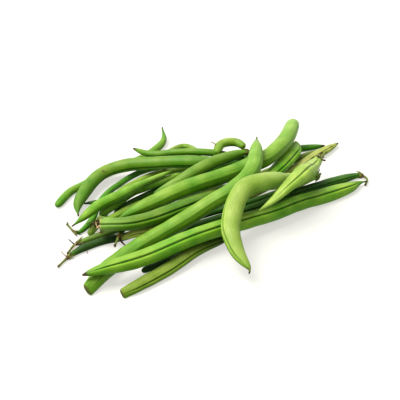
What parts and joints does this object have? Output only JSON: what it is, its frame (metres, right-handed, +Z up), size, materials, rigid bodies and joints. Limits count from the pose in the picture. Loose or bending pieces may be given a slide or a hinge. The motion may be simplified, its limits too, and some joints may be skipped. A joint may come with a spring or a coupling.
{
  "type": "green bean bundle",
  "caption": "Loose heap of slim curved green bean pods laid roughly one way, some with suture grooves, thin beaks, small calyxes and stalks",
  "frame": {"origin": "centre of the heap's box in plan, on the surface that it lies on", "axes": "+X along the length of the heap, +Y across it, +Z up"},
  "size_m": [0.1824, 0.1404, 0.0279],
  "materials": {
    "lime_skin": "light yellow-green bean skin, semi-gloss",
    "pale_skin": "pale green bean skin, semi-gloss",
    "green_skin": "mid green bean skin, semi-gloss",
    "dark_skin": "dark green bean skin, semi-gloss",
    "olive_skin": "yellowish olive green bean skin, semi-gloss",
    "straw_skin": "straw-green bean skin, semi-gloss"
  },
  "bodies": {
    "root": {"left_back_pod": "green_skin", "right_back_pod": "dark_skin", "slim_back_pod": "olive_skin", "split_tip_pod": "straw_skin", "right_dark_pod": "dark_skin", "left_dark_pod": "dark_skin", "left_stem_pod": "green_skin", "small_end_pod": "dark_skin", "left_shade_pod": "dark_skin", "left_pale_pod": "pale_skin", "low_middle_pod": "dark_skin", "slim_upper_pod": "green_skin", "slim_lower_pod": "pale_skin", "left_second_pod": "green_skin", "front_hidden_pod": "dark_skin", "low_front_pod": "dark_skin", "front_low_pod": "olive_skin", "back_arch_pod": "pale_skin", "back_left_pod": "green_skin", "upper_curve_pod": "green_skin", "back_hook_pod": "pale_skin", "yellow_end_pod": "straw_skin", "hanging_stalk_pod": "dark_skin", "stem_ring_pod": "green_skin", "groove_back_pod": "green_skin", "upper_mid_pod": "green_skin", "middle_long_pod": "green_skin", "top_long_pod": "green_skin", "front_long_pod": "green_skin", "hooked_top_pod": "lime_skin", "broad_top_pod": "lime_skin"}
  },
  "joints": []
}
